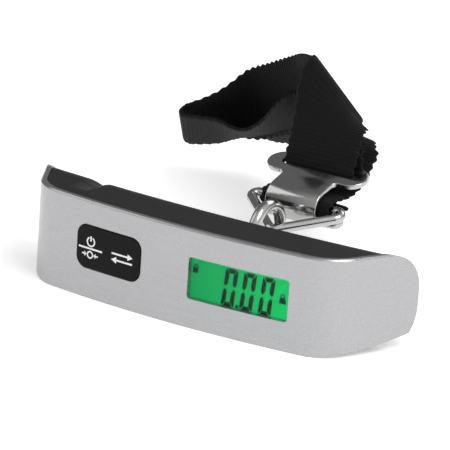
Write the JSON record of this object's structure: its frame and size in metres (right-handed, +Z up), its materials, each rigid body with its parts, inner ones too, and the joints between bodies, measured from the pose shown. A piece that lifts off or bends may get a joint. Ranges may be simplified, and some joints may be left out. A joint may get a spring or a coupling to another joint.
{
  "type": "digital luggage scale",
  "caption": "Hand-held hanging scale: curved handle with a display and a rocker key, an eye bolt on a load beam, a triangular ring, a stamped hook and a webbing strap.",
  "frame": {"origin": "middle of the handle's footprint on the surface it rests on", "axes": "+X along the handle, to the right seen from the display side; +Y from the display towards the strap; +Z up"},
  "size_m": [0.1414, 0.1372, 0.06],
  "materials": {
    "brushed_cover": "silver, fine satin",
    "black_plastic": "fine matte black",
    "clear_window": "clear, flat",
    "display_glass": "green, lit from behind",
    "light_guide": "clear moulding",
    "white_plastic": "white, matte",
    "plated_metal": "bright nickel plate",
    "board": "green solder mask",
    "chip": "black moulding",
    "screw_steel": "zinc plated",
    "gloss_key": "polished black",
    "beam_aluminium": "machined",
    "gauge_film": "amber film",
    "soft_rubber": "matte black",
    "cell_steel": "bright",
    "webbing": "black ribbed webbing"
  },
  "bodies": {
    "handle": {"front_shell": "brushed_cover", "rear_housing": "black_plastic", "lcd_window": "clear_window", "lcd_panel": "display_glass", "backlight_panel": "light_guide", "backlight_leds": "light_guide", "lcd_frame": "white_plastic", "lcd_pins": "plated_metal", "circuit_board": "board", "controller_chip": "chip", "key_switches": "chip", "board_screws": "screw_steel", "key_pivot_pin": "screw_steel", "case_screws": "screw_steel", "load_beam": "beam_aluminium", "beam_screws": "screw_steel", "strain_gauges": "gauge_film", "gauge_ribbon": "gauge_film", "eye_bolt": "plated_metal", "eye_nut": "plated_metal", "eye_washer": "plated_metal", "eye_grommet": "soft_rubber", "coin_cell": "cell_steel", "battery_holder": "black_plastic", "contact_negative": "plated_metal", "contact_positive": "plated_metal"},
    "key": {"rocker_key": "gloss_key"},
    "door": {"battery_door": "black_plastic"},
    "ring": {"delta_ring": "plated_metal", "strap": "webbing"},
    "hook": {"j_hook": "plated_metal"}
  },
  "joints": [
    {"name": "key_rock", "type": "hinge", "parent": "handle", "child": "key", "pos_m": [-0.0229, -0.0106, 0.0159], "axis": [0, 0, 1], "range_deg": [-1.8, 1.8], "stiffness_Nm_per_rad": 0.4},
    {"name": "door_slide", "type": "slide", "parent": "handle", "child": "door", "axis": [0, 1, 0], "range_m": [0, 0.012]},
    {"name": "ring_swing", "type": "hinge", "parent": "handle", "child": "ring", "pos_m": [0, 0.04, 0.0152], "axis": [1, 0, 0], "range_deg": [-35, 60]},
    {"name": "hook_swing", "type": "hinge", "parent": "ring", "child": "hook", "pos_m": [0, 0.055, 0.02], "axis": [1, 0, 0], "range_deg": [0, 12], "deforming": ["strap"]}
  ]
}
